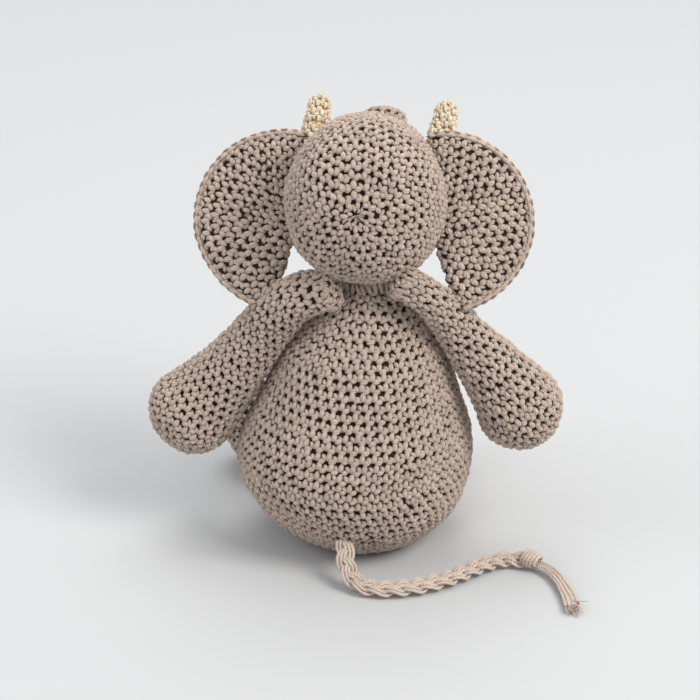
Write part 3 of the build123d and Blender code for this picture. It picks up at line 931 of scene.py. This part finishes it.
SHOULDER_FLATNESS = 0.45


def sew_round(name, form, ring, material, step, seed, height=0.6):
    """Whip stitches all round a limb's form at one of its rings."""
    outs = outward(form)[ring]
    line = form[ring] + outs * height
    return sewn_row(name, line, outs, WHIP_LOOPS, material, step, seed=seed, closed=True)


for side_name, middles in ARMS.items():
    hand, wrist = middles[0][:3], middles[1][:3]
    shoulder_end, before_end = middles[-1][:3], middles[-2][:3]
    stations = rounded_end(hand, wrist, middles[0][3]) + middles
    closing = rounded_end(shoulder_end, before_end, middles[-1][3], flat=SHOULDER_FLATNESS)[::-1]
    closing = [(x, y, z, wide, wide * middles[-1][4] / middles[-1][3]) for x, y, z, wide, deep in closing]
    form = stuffed_form(stations + closing, top=(0, 1, 0.35), rings=ARM_RINGS, around=72,
                        lump=ARM_LUMPS, seed=len(side_name))
    arm = crocheted(f"arm_{side_name}_crochet", form, taupe_cotton, seed=17 + len(side_name))
    arm_fibre = fibre_filling(f"arm_{side_name}_fibre", form, fibre, seed=8)
    start, end = SHOULDER_BEND[side_name]
    for piece, nodes, finish in ((arm, (f"arm_{side_name}_cover", f"arm_root_{side_name}"), "yarn"),
                                 (arm_fibre, (f"arm_{side_name}_stuffing",), "fibre")):
        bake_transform(piece)
        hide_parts(*nodes)
    sewing = sew_round(f"arm_{side_name}_sewing", form, ARM_SEWN_RING, taupe_cotton, ARM_STEP, seed=51)
    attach(sewing, "torso")
    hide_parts(f"arm_seam_{side_name}")


# ---------------------------------------------------------------------------------------------
# Legs. Short clubs worked like the arms, from the round foot back to the hip, and whipped to the
# front of the body at the seat so that the toy sits with its feet forward.
# Middle of the foot and of the hip
LEGS = {"left": ((60.5, -80, 24.2), (29.6, -61.4, 24)), "right": ((-31.0, -92.5, 24.2), (-30.2, -64, 24))}
FOOT_RADIUS = 23.6
CALF_RADII = (18.6, 19.2)
HIP_RADIUS = 15.5
HIP_INSIDE = 11                     # how far the leg goes on past the hip
LEG_STEP = 4.2
LEG_LUMPS = 0.7
LEG_RINGS = 80
LEG_SEWN_RING = 62
for side_name, (foot, hip) in LEGS.items():
    foot, hip = np.array(foot), np.array(hip)
    inward = (hip - foot) / np.linalg.norm(hip - foot)
    inside = hip + inward * HIP_INSIDE
    calf = foot * 0.45 + hip * 0.55
    stations = (rounded_end(foot, hip, FOOT_RADIUS) + [(*foot, FOOT_RADIUS, FOOT_RADIUS)]
                + [(*calf, *CALF_RADII), (*hip, HIP_RADIUS, HIP_RADIUS + 0.6), (*inside, 13.5, 14)]
                + rounded_end(inside + inward * 3, hip, 11, flat=0.5)[::-1])
    form = stuffed_form(stations, top=(0, 0, 1), rings=LEG_RINGS, around=72, lump=LEG_LUMPS,
                        seed=len(side_name) + 3)
    leg = crocheted(f"leg_{side_name}_crochet", form, taupe_cotton, seed=19 + len(side_name))
    leg_fibre = fibre_filling(f"leg_{side_name}_fibre", form, fibre, seed=9)
    for piece, node, finish in ((leg, f"leg_{side_name}_cover", "yarn"),
                                (leg_fibre, f"leg_{side_name}_stuffing", "fibre")):
        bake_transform(piece)
        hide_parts(node)
    sewing = sew_round(f"leg_{side_name}_sewing", form, LEG_SEWN_RING, taupe_cotton, LEG_STEP, seed=61)
    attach(sewing, "torso")
    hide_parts(f"leg_seam_{side_name}")


# ---------------------------------------------------------------------------------------------
# Table and light. A broad pale table top in soft daylight from both sides and above.
TABLE_COLOUR = (0.500, 0.504, 0.508)
TABLE_HALF = 6
SKY_COLOUR = (0.96, 0.98, 1.0)
SKY_STRENGTH = 0.80
table_mesh = bpy.data.meshes.new("table")
bm = bmesh.new()
bmesh.ops.create_grid(bm, x_segments=4, y_segments=4, size=TABLE_HALF)
bm.to_mesh(table_mesh)
bm.free()
table_finish = bpy.data.materials.new("pale_table")
table_finish.use_nodes = True
table_surface = table_finish.node_tree.nodes["Principled BSDF"]
table_surface.inputs["Base Color"].default_value = (*TABLE_COLOUR, 1)
table_surface.inputs["Roughness"].default_value = 0.9
table = new_piece("table", table_mesh, table_finish)

world = bpy.data.worlds.new("studio")
bpy.context.scene.world = world
world.use_nodes = True
sky = world.node_tree.nodes["Background"]
sky.inputs["Color"].default_value = (*SKY_COLOUR, 1)
sky.inputs["Strength"].default_value = SKY_STRENGTH


def soft_box(name, place, size, power, colour):
    """A square diffuse lamp aimed at the toy's middle."""
    data = bpy.data.lights.new(name, "AREA")
    data.shape = "SQUARE"
    data.size = size
    data.energy = power
    data.color = colour
    lamp = bpy.data.objects.new(name, data)
    lamp.location = place
    lamp.rotation_euler = (Vector(place) - VIEW_MIDDLE).to_track_quat("Z", "Y").to_euler()
    bpy.context.collection.objects.link(lamp)


soft_box("window_light", (-2.1, 1.2, 2.4), 1.5, 84, (1.0, 0.97, 0.94))
soft_box("fill_light", (2.4, 0.8, 1.9), 2.0, 19, (0.97, 0.98, 1.0))
soft_box("top_light", (0.1, -1.3, 2.8), 1.8, 33, (1.0, 1.0, 1.0))
